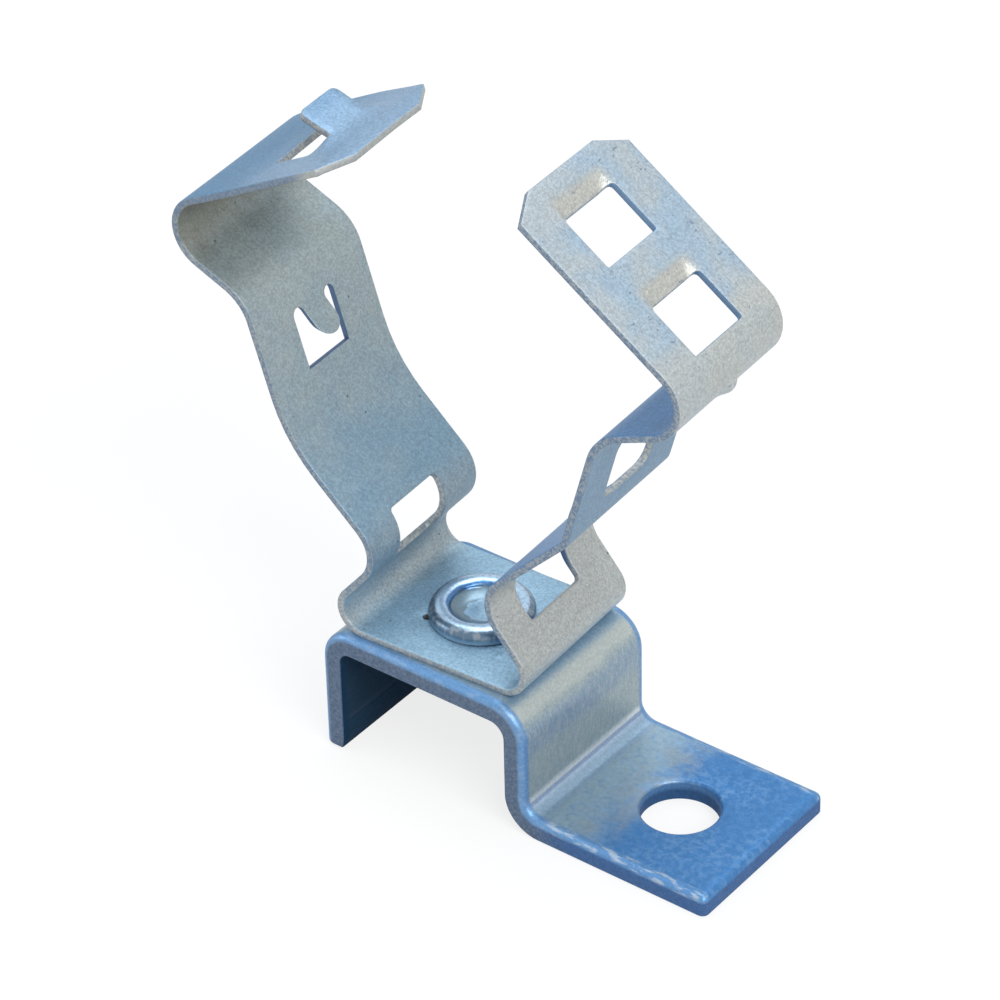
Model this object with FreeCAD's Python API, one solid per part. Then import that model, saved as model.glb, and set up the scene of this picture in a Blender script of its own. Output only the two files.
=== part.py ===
import FreeCAD, Part
import math, os
from FreeCAD import Vector

# Conduit clip on an offset bracket, in mm.
# X runs along the bracket from the leg to the foot, Y across it, Z up.
# The origin is on the fixing hole's axis at the foot's underside.

# bracket, one folded strip
strip_width = 22.0
strip_thick = 2.5
hole_dia = 8.7
foot_end = 10.9          # fixing hole to the foot's free end
web_offset = 12.5        # fixing hole to the web's near face
top_height = 15.8        # foot's underside to the top of the plate
plate_length = 27.0      # web's near face to the leg's outer face
web_bend = 1.8           # inside radius, both bends of the web
leg_bend = 1.35         # inside radius, bend of the leg
foot_corner = 0.8
edge_roll = 0.7          # rounding of the sheared outline on the outer skin

# rivet
rivet_offset = 13.5      # leg's outer face to the rivet's axis
shank_dia = 6.4
rivet_clearance = 0.05   # on the radius, clip turns on the shank
head_dia = 11.2
head_height = 1.6
ring_dia = 11.6
ring_height = 1.75
socket_dia = 7.3         # mouth of the hollow end
floor_dia = 4.8
floor_height = 0.5       # floor of the hollow above the clip's base

# clip, one folded strip of spring steel
clip_inset = 1.4         # clip's edges inside the bracket's, each side
clip_width = strip_width - 2 * clip_inset
clip_thick = 0.8
clip_turn = 2.85         # degrees about the rivet, as photographed
base_half = 14.85        # rivet's axis to the corner of each base bend
base_bend = 2.8
lower_leg = 13.98
lower_angle = 129.4      # from level outwards, past upright means it leans in
curl_bend = 4.3
lean_leg_left = 16.1
lean_angle_left = 43.6
kink_left = 19.0
side_leg_left = 16.3
side_angle_left = 72.8
lean_leg_right = 15.85
lean_angle_right = 45.1
kink_right = 2.5
side_leg_right = 14.9
side_angle_right = 74.6
shoulder_bend = 5.5
shoulder_leg = 15.0
shoulder_angle_left = 24.8
shoulder_angle_right = 21.2
fold_bend = 4.2

# left flap with its catch tab and turned-down nose
flap_leg_left = 27.0
flap_angle_left = 151.8
nose_leg = 2.3
nose_drop = 18.0
nose_bend = 2.5
nose_half = 5.7
nose_chamfer = 2.25
tab_root = 25.2          # along the flap from its fold corner
tab_length = 5.4
tab_half = 2.95
tab_lift = 47.0
tab_bend = 2.4
tab_corner = 0.8
tab_hole_start = 17.4
tab_hole_half = 4.9
tab_hole_corner = 1.9

# right flap with two catch windows
flap_leg_right = 30.2
flap_angle_right = 144.0
tip_half = 5.7
tip_chamfer = 2.2
window_start = 7.25      # near window, along the flap from its fold corner
window_pitch = 12.1
window_length = 6.4
window_half = 4.2
window_corner = 0.3
tip_window_shift = -0.45  # the flap is a little askew, as photographed
lip_length = 2.1
lip_half = 3.4           # at the crease, as wide as the window at its edge
lip_drop = 0.85

# windows and tongue in the arms
low_window_below = 5.75  # on the lower leg, back from the curl's corner
low_window_above = 3.75  # on the leaning leg, on from the curl's corner
low_window_half = 4.2
low_window_corner = 0.5
side_window_start = 2.9
side_window_length = 8.4
side_window_half = 4.2
side_window_corner = 1.6
slot_start = 5.3
slot_length = 6.8
slot_half = 3.5
slot_corner = 0.75
past_corner = 2.0        # how far a window's cut on one leg runs on past its corner
tongue_half = 1.85
tongue_length = 4.25
tongue_bend = 27.0

# small pressed marks
fold_pip_dia = 2.8
fold_pip_height = 0.65
fold_pip_angle = 49.0    # round the right fold from its lower leg
base_pip_dia = 0.9
base_pip_height = 0.25
base_pip_out = 5.6
base_pip_side = 5.1
pilot_dia = 1.1
pilot_angle = 217.0

web_x = -web_offset
leg_x = web_x - plate_length
rivet_x = leg_x + rivet_offset
clip_z = top_height
half_width = clip_width / 2.0
half_thick = clip_thick / 2.0


def arc_edge(centre, radius, start, sweep):
    """Arc in the XZ plane from its start angle through a sweep, both in radians."""
    pts = []
    for k in (0.0, 0.5, 1.0):
        a = start + sweep * k
        pts.append(centre + Vector(math.cos(a), 0, math.sin(a)) * radius)
    return Part.Arc(*pts).toShape()


def side_path(points, radii, off):
    """One skin of a folded strip: its edges and both ends, off the centre line."""
    edges = []
    start = None
    here = points[0]
    n = len(points)
    dirs = [(points[i + 1] - points[i]).normalize() for i in range(n - 1)]
    for i in range(1, n):
        d = dirs[i - 1]
        nrm = Vector(-d.z, 0, d.x)
        stop = points[i]
        if i < n - 1:
            e = dirs[i]
            turn = math.atan2(d.x * e.z - d.z * e.x, d.dot(e))
            run = radii[i] * math.tan(abs(turn) / 2.0)
            stop = points[i] - d * run
        a, b = here + nrm * off, stop + nrm * off
        edges.append(Part.LineSegment(a, b).toShape())
        if start is None:
            start = a
        if i < n - 1:
            s = 1.0 if turn > 0 else -1.0
            centre = stop + nrm * (radii[i] * s)
            v = stop - centre
            edges.append(arc_edge(centre, radii[i] - off * s, math.atan2(v.z, v.x), turn))
            here = points[i] + e * run
    return edges, start, b


def ribbon(points, radii, thick, width):
    """Strip folded along a path in XZ, each corner a true bend, centred on Y = 0."""
    upper, a0, a1 = side_path(points, radii, thick / 2.0)
    lower, b0, b1 = side_path(points, radii, -thick / 2.0)
    caps = [Part.LineSegment(a0, b0).toShape(), Part.LineSegment(a1, b1).toShape()]
    face = Part.Face(Part.Wire(Part.__sortEdges__(upper + lower + caps)))
    face.translate(Vector(0, -width / 2.0, 0))
    return face.extrude(Vector(0, width, 0))


class Leg:
    """One straight leg of a strip: places things by distance along it and height off it."""

    def __init__(self, start, direction):
        self.start = start
        self.along = direction.normalize()
        self.off = Vector(-self.along.z, 0, self.along.x)

    def at(self, s, n=0.0, y=0.0):
        return self.start + self.along * s + self.off * n + Vector(0, y, 0)

    def outline(self, s0, s1, half, corners):
        """Rectangle in the leg's plane; corners are the radii at s0 and at s1."""
        c0, c1 = corners
        q = 1.0 - math.sqrt(0.5)
        edges = []

        def line(a, b):
            edges.append(Part.LineSegment(self.at(*a), self.at(*b)).toShape())

        def corner(a, m, b):
            edges.append(Part.Arc(self.at(*a), self.at(*m), self.at(*b)).toShape())

        line((s0 + c0, 0, -half), (s1 - c1, 0, -half))
        if c1:
            corner((s1 - c1, 0, -half), (s1 - c1 * q, 0, -half + c1 * q), (s1, 0, -half + c1))
        if half > c1:
            line((s1, 0, -half + c1), (s1, 0, half - c1))
        if c1:
            corner((s1, 0, half - c1), (s1 - c1 * q, 0, half - c1 * q), (s1 - c1, 0, half))
        line((s1 - c1, 0, half), (s0 + c0, 0, half))
        if c0:
            corner((s0 + c0, 0, half), (s0 + c0 * q, 0, half - c0 * q), (s0, 0, half - c0))
        if half > c0:
            line((s0, 0, half - c0), (s0, 0, -half + c0))
        if c0:
            corner((s0, 0, -half + c0), (s0 + c0 * q, 0, -half + c0 * q), (s0 + c0, 0, -half))
        return Part.Wire(edges)

    def slab(self, s0, s1, half, corners, low, high):
        """Rounded plate or cutter, from low to high off the leg's mid-plane."""
        face = Part.Face(self.outline(s0, s1, half, corners))
        face.translate(self.off * low)
        return face.extrude(self.off * (high - low))

    def prism(self, outline, low, high):
        """Straight-sided plate or cutter from (s, y) points."""
        pts = [self.at(s, 0, y) for s, y in outline]
        face = Part.Face(Part.makePolygon(pts + pts[:1]))
        face.translate(self.off * low)
        return face.extrude(self.off * (high - low))


def arm(side, legs):
    """Corner points of one arm; side is -1 left or 1 right, legs are (length, angle)."""
    p = Vector(side * base_half, 0, half_thick)
    pts = [p]
    for length, angle in legs:
        a = math.radians(angle)
        p = p + Vector(side * math.cos(a), 0, math.sin(a)) * length
        pts.append(p)
    return pts


def soft_edges(shape, radius, wanted):
    """Breaks the edges that a test picks, by at most the given radius."""
    picked = [e for e in shape.Edges if wanted(e)]
    return shape.makeFillet(radius, picked) if picked else shape


def make_bracket():
    t = strip_thick
    mid = t / 2.0
    top = top_height - mid
    points = [Vector(leg_x + mid, 0, 0), Vector(leg_x + mid, 0, top), Vector(web_x - mid, 0, top),
              Vector(web_x - mid, 0, mid), Vector(foot_end, 0, mid)]
    radii = [0, leg_bend + mid, web_bend + mid, web_bend + mid, 0]
    body = ribbon(points, radii, t, strip_width)
    end_corners = [e for e in body.Edges
                   if all(abs(v.X - foot_end) < 1e-4 for v in e.Vertexes)
                   and abs(e.Vertexes[0].Y - e.Vertexes[-1].Y) < 1e-4]
    body = body.makeFillet(foot_corner, end_corners)

    # the die rolled the outer skin's edge over, all along the strip
    skin = Part.Wire(side_path(points, radii, mid)[0])

    def outer(e):
        c = e.valueAt((e.FirstParameter + e.LastParameter) / 2.0)
        level = Part.Vertex(c.x, 0, c.z)
        return abs(abs(c.y) - strip_width / 2.0) < 1e-4 and level.distToShape(skin)[0] < 1e-4
    body = soft_edges(body, edge_roll, outer)
    body = body.cut(Part.makeCylinder(hole_dia / 2.0, 3 * t, Vector(0, 0, -t)))
    body = body.cut(Part.makeCylinder(shank_dia / 2.0, 3 * t, Vector(rivet_x, 0, top_height - 2 * t)))
    return body


def make_rivet():
    seat = clip_z + clip_thick
    under = top_height - strip_thick
    crest = seat + ring_height
    r_out, r_mouth, r_floor = ring_dia / 2.0, socket_dia / 2.0, floor_dia / 2.0
    r_crest = (r_out + r_mouth) / 2.0
    floor = seat + floor_height
    lip = seat + ring_height * 0.72
    head_r = head_dia / 2.0
    foot = under - head_height

    def at(r, z):
        return Vector(r, 0, z)

    def line(a, b):
        return Part.LineSegment(a, b).toShape()

    edges = [
        line(at(0, foot), at(head_r * 0.62, foot)),
        Part.Arc(at(head_r * 0.62, foot), at(head_r * 0.9, foot + head_height * 0.22),
                 at(head_r, under - head_height * 0.3)).toShape(),
        line(at(head_r, under - head_height * 0.3), at(head_r, under)),
        line(at(head_r, under), at(shank_dia / 2.0, under)),
        line(at(shank_dia / 2.0, under), at(shank_dia / 2.0, seat)),
        line(at(shank_dia / 2.0, seat), at(r_out, seat)),
        line(at(r_out, seat), at(r_out, seat + ring_height * 0.45)),
        Part.Arc(at(r_out, seat + ring_height * 0.45), at(r_crest, crest), at(r_mouth, lip)).toShape(),
        line(at(r_mouth, lip), at(r_floor, floor)),
        line(at(r_floor, floor), at(0, floor)),
        line(at(0, floor), at(0, foot)),
    ]
    face = Part.Face(Part.Wire(edges))
    solid = face.revolve(Vector(0, 0, 0), Vector(0, 0, 1), 360)
    solid.translate(Vector(rivet_x, 0, 0))
    return solid


def make_clip():
    left = arm(-1, [(lower_leg, lower_angle), (lean_leg_left, lean_angle_left),
                    (side_leg_left, side_angle_left), (shoulder_leg, shoulder_angle_left),
                    (flap_leg_left, flap_angle_left), (nose_leg, flap_angle_left + nose_drop)])
    right = arm(1, [(lower_leg, lower_angle), (lean_leg_right, lean_angle_right),
                    (side_leg_right, side_angle_right), (shoulder_leg, shoulder_angle_right),
                    (flap_leg_right, flap_angle_right)])
    left_bends = [base_bend, curl_bend, kink_left, shoulder_bend, fold_bend, nose_bend, 0]
    right_bends = [base_bend, curl_bend, kink_right, shoulder_bend, fold_bend, 0]
    clip = ribbon(left[::-1] + right, left_bends[::-1] + right_bends, clip_thick, clip_width)

    # legs run outwards from the base; the left arm's inner face is at -n, the right arm's at +n
    l_lower, l_lean, l_side, l_shoulder, l_flap, l_nose = [Leg(a, b - a) for a, b in zip(left, left[1:])]
    r_lower, r_lean, r_side, r_shoulder, r_flap = [Leg(a, b - a) for a, b in zip(right, right[1:])]
    deep = 2.5
    cuts = []
    adds = []

    # windows that wrap round the curls
    for lower, lean in ((l_lower, l_lean), (r_lower, r_lean)):
        cuts.append(lower.slab(lower_leg - low_window_below, lower_leg + past_corner, low_window_half,
                               (low_window_corner, 0), -deep, deep))
        cuts.append(lean.slab(-past_corner, low_window_above, low_window_half,
                              (0, low_window_corner), -deep, deep))

    # window in the right side leg, slot and bent tongue in the left one
    cuts.append(r_side.slab(side_window_start, side_window_start + side_window_length,
                            side_window_half, (side_window_corner, side_window_corner), -deep, deep))
    slot_end = slot_start + slot_length
    cuts.append(l_side.slab(slot_start, slot_end, slot_half, (0, slot_corner), -deep, deep))
    tongue = Leg(l_side.at(slot_end), turned(-l_side.along, tongue_bend))
    adds.append(tongue.slab(-0.6, tongue_length, tongue_half, (0, tongue_half * 0.85),
                            -half_thick, half_thick))

    # both flap ends have their corners cut off
    for leg, length, half, run in ((l_nose, nose_leg, nose_half, nose_chamfer),
                                   (r_flap, flap_leg_right, tip_half, tip_chamfer)):
        for y in (-1, 1):
            cuts.append(leg.prism([(length - run, y * (half_width + 0.01)), (length + 1, y * (half_width + 0.01)),
                                   (length + 1, y * half), (length, y * half)], -deep, deep))

    # catch tab lanced out of the left flap
    tab_run = tab_bend * math.tan(math.radians(tab_lift) / 2.0)
    cuts.append(l_flap.slab(tab_hole_start, tab_root - tab_run, tab_hole_half,
                            (window_corner, tab_hole_corner), -half_thick * 2, half_thick * 2))
    cuts.append(l_flap.slab(tab_root - tab_run - 1, tab_root + tab_run, tab_half, (0, 0),
                            -half_thick * 2, half_thick * 2))

    # catch windows in the right flap, each with a lip pressed down on its tip side
    for k in (0, 1):
        s0 = window_start + k * window_pitch
        s1 = s0 + window_length
        shift = Vector(0, k * tip_window_shift, 0)
        cuts.append(r_flap.slab(s0, s1, window_half, (window_corner, window_corner), -deep, deep).translated(shift))
        crease = s1 + lip_length
        patch = [(s1 - 0.1, -window_half), (crease, -lip_half), (crease, lip_half), (s1 - 0.1, window_half)]
        cuts.append(r_flap.prism(patch, -deep, deep).translated(shift))
        wide = [(s1, -window_half), (crease, -lip_half), (crease + 1, -lip_half),
                (crease + 1, lip_half), (crease, lip_half), (s1, window_half)]
        path = [r_flap.at(crease + 0.7), r_flap.at(crease), r_flap.at(s1, lip_drop)]
        lip = ribbon(path, [0, 0.8, 0], clip_thick, 2 * window_half)
        adds.append(lip.common(r_flap.prism(wide, -deep, deep)).translated(shift))

    # rivet hole and its pilot notch
    cuts.append(Part.makeCylinder(shank_dia / 2.0 + rivet_clearance, 4 * clip_thick, Vector(0, 0, -clip_thick)))
    a = math.radians(pilot_angle)
    out = ring_dia / 2.0
    cuts.append(Part.makeCylinder(pilot_dia / 2.0, 4 * clip_thick,
                                  Vector(out * math.cos(a), out * math.sin(a), -clip_thick)))

    for c in cuts:
        clip = clip.cut(c)
    raised = Leg(l_flap.at(tab_root), turned(-l_flap.along, -tab_lift))
    path = [l_flap.at(tab_root + tab_run + 0.2), l_flap.at(tab_root), raised.at(tab_length)]
    tab = ribbon(path, [0, tab_bend, 0], clip_thick, 2 * tab_half)
    ends = [e for e in tab.Edges
            if all(abs((v.Point - raised.start).dot(raised.along) - tab_length) < 1e-4 for v in e.Vertexes)
            and abs(e.Vertexes[0].Y - e.Vertexes[-1].Y) < 1e-4]
    adds.append(tab.makeFillet(tab_corner, ends))

    # pips pressed out of the fold and the base
    turn = math.radians(flap_angle_right - shoulder_angle_right)
    back = fold_bend * math.tan(turn / 2.0)
    centre = r_shoulder.at(shoulder_leg - back, fold_bend)
    a = math.radians(shoulder_angle_right - 90.0 + fold_pip_angle)
    axis = Vector(math.cos(a), 0, math.sin(a))
    rise = half_thick + fold_pip_height
    adds.append(Part.makeCone(fold_pip_dia / 2.0, fold_pip_dia / 4.0, rise, centre + axis * fold_bend, axis))
    adds.append(Part.makeCone(base_pip_dia / 2.0, base_pip_dia / 4.0, half_thick + base_pip_height,
                              Vector(base_pip_out, -base_pip_side, half_thick), Vector(0, 0, 1)))
    for s in adds:
        clip = clip.fuse(s)
    clip = clip.removeSplitter()
    clip.rotate(Vector(0, 0, 0), Vector(0, 0, 1), clip_turn)
    clip.translate(Vector(rivet_x, 0, clip_z))
    return clip


def turned(direction, degrees):
    """Direction in XZ turned anticlockwise as seen from the front."""
    a = math.radians(degrees)
    return Vector(direction.x * math.cos(a) - direction.z * math.sin(a), 0,
                  direction.x * math.sin(a) + direction.z * math.cos(a))


os.makedirs("parts", exist_ok=True)
pieces = {
    "bracket": make_bracket(),
    "rivet": make_rivet(),
    "spring_clip": make_clip(),
}
for name, shape in pieces.items():
    solid = shape.Solids[0] if len(shape.Solids) == 1 else shape
    print(name, "solids", len(shape.Solids), "valid", shape.isValid(), "volume", round(shape.Volume, 2))
    solid.exportStep("parts/" + name + ".step")
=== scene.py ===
import math
import bpy
import bmesh
from mathutils import Matrix, Vector, geometry


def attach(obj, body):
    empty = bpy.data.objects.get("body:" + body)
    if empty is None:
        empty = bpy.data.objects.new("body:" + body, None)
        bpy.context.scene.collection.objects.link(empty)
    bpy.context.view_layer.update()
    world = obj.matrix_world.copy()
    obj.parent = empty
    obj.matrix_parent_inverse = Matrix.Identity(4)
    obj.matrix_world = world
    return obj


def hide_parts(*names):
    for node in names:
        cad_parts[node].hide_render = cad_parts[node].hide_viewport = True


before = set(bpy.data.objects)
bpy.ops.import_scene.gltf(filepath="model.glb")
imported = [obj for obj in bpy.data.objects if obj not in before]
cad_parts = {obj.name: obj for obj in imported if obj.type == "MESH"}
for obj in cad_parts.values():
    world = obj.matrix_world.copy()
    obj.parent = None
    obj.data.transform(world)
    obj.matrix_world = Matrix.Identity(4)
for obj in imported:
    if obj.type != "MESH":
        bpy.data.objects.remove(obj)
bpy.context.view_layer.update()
scene = bpy.context.scene
mm = 0.001
sharp = math.radians(50)    # steeper edges are shaded sharp
print("frame loaded")


# camera: fitted to the photo's edges, in metres and degrees, with lens and sensor in mm
camera = {"place": (0.215334, -0.304925, 0.30624), "azimuth": 38.04, "elevation": 35.24,
          "roll": -1.375, "lens": 163.0, "sensor": 36.0, "near": 0.05, "far": 20}


def makeCamera(c):
    az, el, roll = (math.radians(c[k]) for k in ("azimuth", "elevation", "roll"))
    ahead = Vector((-math.sin(az) * math.cos(el), math.cos(az) * math.cos(el), -math.sin(el)))
    right = ahead.cross(Vector((0, 0, 1))).normalized()
    up = right.cross(ahead)
    level = Matrix((right, up, -ahead)).transposed()
    data = bpy.data.cameras.new("photoView")
    data.lens, data.sensor_width = c["lens"], c["sensor"]
    data.clip_start, data.clip_end = c["near"], c["far"]
    obj = bpy.data.objects.new("photoView", data)
    obj.matrix_world = Matrix.Translation(c["place"]) @ (level @ Matrix.Rotation(roll, 3, "Z")).to_4x4()
    scene.collection.objects.link(obj)
    scene.camera = obj


makeCamera(camera)
print("camera placed")


# shader maths: a wrapped socket, so that masks read as plain sums
class Value:
    def __init__(self, finish, socket):
        self.finish, self.socket = finish, socket

    def maths(self, operation, a, b):
        return self.finish.node("ShaderNodeMath", {"operation": operation}, {0: a, 1: b})

    def __add__(self, other):
        return self.maths("ADD", self, other)

    def __sub__(self, other):
        return self.maths("SUBTRACT", self, other)

    def __mul__(self, other):
        return self.maths("MULTIPLY", self, other)

    def __rsub__(self, other):
        return self.maths("SUBTRACT", other, self)

    __radd__ = __add__
    __rmul__ = __mul__


# the node tree of a material or world
class Finish:
    def __init__(self, owner):
        owner.use_nodes = True
        self.owner, self.tree = owner, owner.node_tree
        self.tree.nodes.clear()

    def node(self, kind, settings, inputs, out=0):
        made = self.tree.nodes.new(kind)
        for key, value in settings.items():
            setattr(made, key, value)
        for key, value in inputs.items():
            if isinstance(value, Value):
                self.tree.links.new(value.socket, made.inputs[key])
            else:
                made.inputs[key].default_value = value
        return Value(self, made.outputs[out]) if len(made.outputs) else None

    def place(self):
        return self.node("ShaderNodeTexCoord", {}, {}, "Object")

    def noise(self, size, detail, stretch=(1, 1, 1), roughness=0.5):
        # size is one blotch in mm, stretch makes it longer along an axis
        scale = tuple(1 / s for s in stretch)
        scaled = self.node("ShaderNodeMapping", {}, {"Vector": self.place(), "Scale": scale})
        return self.node("ShaderNodeTexNoise", {}, {"Vector": scaled, "Scale": 1 / (size * mm),
                                                    "Detail": detail, "Roughness": roughness})

    def cells(self, size):
        return self.node("ShaderNodeTexVoronoi", {}, {"Vector": self.place(), "Scale": 1 / (size * mm)})

    def attribute(self, name):
        return self.node("ShaderNodeAttribute", {"attribute_name": name}, {}, "Fac")

    def step(self, value, low, high):
        # 0 at low and 1 at high, whichever of them is the greater
        return self.node("ShaderNodeMapRange", {"interpolation_type": "SMOOTHSTEP"},
                         {"Value": value, "From Min": low, "From Max": high})

    def blend(self, a, b, factor, mode="MIX"):
        # the mix node's colour sockets are its inputs 6 and 7 and its output 2
        return self.node("ShaderNodeMix", {"data_type": "RGBA", "blend_type": mode, "clamp_factor": True},
                         {0: factor, 6: a, 7: b}, 2)

    def axis(self, name):
        return self.node("ShaderNodeSeparateXYZ", {}, {"Vector": self.place()}, name)

    def bump(self, height, depth, strength):
        return self.node("ShaderNodeBump", {}, {"Height": height, "Distance": depth * mm,
                                                "Strength": strength})

    def surface(self, inputs):
        shader = self.node("ShaderNodeBsdfPrincipled", {}, inputs)
        self.node("ShaderNodeOutputMaterial", {}, {"Surface": shader})
        return self.owner


def grey(v):
    return (v, v, v, 1)


# zinc plate of the bracket: blue on the foot and plate, greyer on the upright web, partly the zinc's own tint
# and partly painted reflection; painted highlights, reflections and shade along the bends and edges, painted
# shade in the channel.
# Each pair is where a zone begins and where it is whole, in metres along x or z; the rim's is y squared
zincLook = {"footBlue": (0.064, 0.195, 0.43, 1), "footGrey": (0.29, 0.405, 0.485, 1),
            "plate": (0.21, 0.32, 0.42, 1), "web": (0.29, 0.36, 0.38, 1), "bandReflection": (0.17, 0.27, 0.40, 1),
            "rubbedAndSheen": (0.50, 0.53, 0.50, 1), "edgeReflection": (0.115, 0.26, 0.49, 1),
            "frostAndSheen": (0.20, 0.36, 0.58, 1), "fracture": (0.115, 0.16, 0.235, 1),
            "footEdge": (0.045, 0.125, 0.31, 1), "silverHighlight": (0.55, 0.60, 0.62, 1),
            "worn": (0.29, 0.33, 0.34, 1), "deep": (0.04, 0.135, 0.34, 1), "wall": (0.03, 0.085, 0.20, 1),
            "darkGrainAndShade": (0.003, 0.022, 0.052, 1), "metal": 0.5, "rough": 0.34, "gloss": 0.02,
            "footAt": (-0.0105, -0.0095), "blueAt": (-0.0085, -0.001), "plateAt": (0.0148, 0.0156),
            "brownFrom": (-0.0085, -0.0055), "brownTo": (-0.001, -0.004),
            "bandFrom": (0.0085, 0.0105), "bandTo": (0.0125, 0.0138),
            "crestFrom": (0.0133, 0.0143), "crestTo": (0.0152, 0.0157),
            "hollowFrom": (0.0028, 0.0033), "hollowTo": (0.0046, 0.0038), "frostTo": (0.0034, 0.0031),
            "creaseFrom": (0.0031, 0.0033), "creaseTo": (0.0037, 0.0035),
            "plateSheenAt": (-0.0150, -0.0135), "rimAt": (0.000095, 0.000103), "channelShadeTo": (-0.012, -0.010),
            "footEdgeAt": (-0.013, -0.006), "boreTopAt": (0.0011, 0.0019)}


def zincPlate(c):
    f = Finish(bpy.data.materials.new("zincPlate"))
    x, y, z = f.axis("X"), f.axis("Y"), f.axis("Z")
    inside, cut, bore = (f.attribute(n) for n in ("inside", "cut", "bore"))
    warp = f.noise(3.0, 3) * 0.0016 - 0.0008
    onFoot = f.step(x, *c["footAt"])
    onWeb = 1 - onFoot

    foot = f.blend(c["footGrey"], c["footBlue"], f.step(x + warp * 2, *c["blueAt"]))
    mottle = f.step(f.noise(0.8, 5, roughness=0.65), 0.42, 0.64)
    cloud = f.step(f.noise(3.6, 3, (1.5, 1, 1)), 0.40, 0.62)
    foot = f.blend(foot, c["frostAndSheen"], mottle * (0.12 + cloud * 0.3))
    foot = f.blend(foot, c["deep"], f.step(f.noise(0.6, 4, roughness=0.7), 0.50, 0.64) * 0.35)
    brown = f.step(x, *c["brownFrom"]) * f.step(x, *c["brownTo"]) * f.step(f.noise(2.6, 3), 0.42, 0.58)
    foot = f.blend(foot, c["worn"], brown * 0.45)

    # painted reflection: a darker blue band down the web below the top bend
    bandReflection = f.step(z + warp, *c["bandFrom"]) * (1 - f.step(z + warp, *c["bandTo"]))
    hair = f.step(f.noise(0.28, 3, (1, 1, 5), 0.6), 0.4, 0.66)
    crest = f.step(z + warp, *c["crestFrom"]) * (1 - f.step(z + warp, *c["crestTo"]))
    # painted highlight and shade across the concave bend of web and foot: a bright line, a dark line beside
    # it, a pale line at the web's foot
    hollow = f.step(z + warp * 0.2, *c["hollowTo"]) * f.step(z, *c["hollowFrom"]) * onWeb
    creaseShade = f.step(z, *c["creaseTo"]) * f.step(z, *c["creaseFrom"]) * onWeb
    web = f.blend(c["web"], c["bandReflection"], bandReflection * 0.5)
    web = f.blend(web, grey(0.5), hair * 0.3)
    # painted highlight along the crest of the top bend
    web = f.blend(web, c["rubbedAndSheen"], crest * 0.5)
    # painted highlight, painted pale reflection and painted shade at the concave bend; elsewhere
    # frostAndSheen is the foot's own pale mottle
    web = f.blend(web, c["silverHighlight"], hollow * 0.9)
    web = f.blend(web, c["frostAndSheen"], f.step(z, *c["frostTo"]) * onWeb * 0.5)
    web = f.blend(web, c["deep"], creaseShade * 0.6)

    plate = f.blend(c["plate"], grey(0.42), f.step(f.noise(0.9, 5, roughness=0.7), 0.50, 0.66) * 0.3)
    # painted highlight on the plate beside the top bend
    plate = f.blend(plate, c["rubbedAndSheen"], f.step(x + warp, *c["plateSheenAt"]) * 0.35)
    # upright web greyer, foot and plate bluer: partly the zinc's own tint, partly painted reflection
    body = f.blend(f.blend(web, plate, f.step(z, *c["plateAt"])), foot, onFoot)
    # painted reflection: a blue band along the rolled front and back edges, with painted glints, more of them
    # on the foot
    rim = f.step(y * y, *c["rimAt"])
    body = f.blend(body, c["edgeReflection"], rim * 0.85)
    edgeGlint = f.step(f.noise(0.5, 4, (4, 1, 1)), 0.48, 0.64) * rim
    body = f.blend(body, c["silverHighlight"], edgeGlint * (0.12 + onFoot * 0.4))
    # painted shade: the inside of the channel under the plate turned near black, less metallic and rougher;
    # the same dark also marks grain in the sheared edges
    channelShade = inside * (1 - f.step(x, *c["channelShadeTo"]))
    body = f.blend(body, c["darkGrainAndShade"], channelShade * 0.96)

    # the sheared edges, and the walls of the holes
    grain = f.noise(0.3, 5, roughness=0.75)
    torn = f.blend(c["fracture"], grey(0.30), f.step(grain, 0.5, 0.7) * 0.3)
    torn = f.blend(torn, c["darkGrainAndShade"], f.step(grain, 0.45, 0.33) * 0.3)
    torn = f.blend(torn, c["footEdge"], f.step(x + warp, *c["footEdgeAt"]) * 0.75)
    # painted shade on the dark walls of the holes, with a painted highlight round the top of the bore
    wall = f.blend(c["wall"], c["edgeReflection"], f.step(z, *c["boreTopAt"]) * 0.7)
    torn = f.blend(torn, wall, bore * 0.85)
    body = f.blend(body, torn, cut)
    speck = 0.90 + f.step(f.noise(0.3, 2, roughness=0.7), 0.34, 0.66) * 0.16
    body = f.blend(body, speck, 1.0, "MULTIPLY")
    rough = c["rough"] + mottle * 0.1 + cut * 0.2 + channelShade * 0.3
    height = mottle * 0.3 + grain * (0.35 + cut * 0.8) + hair * onWeb * 0.3
    return f.surface({"Base Color": body, "Metallic": c["metal"] * (1 - channelShade), "Roughness": rough,
                      "Specular IOR Level": c["gloss"], "Normal": f.bump(height, 0.03, 0.7)})


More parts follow.
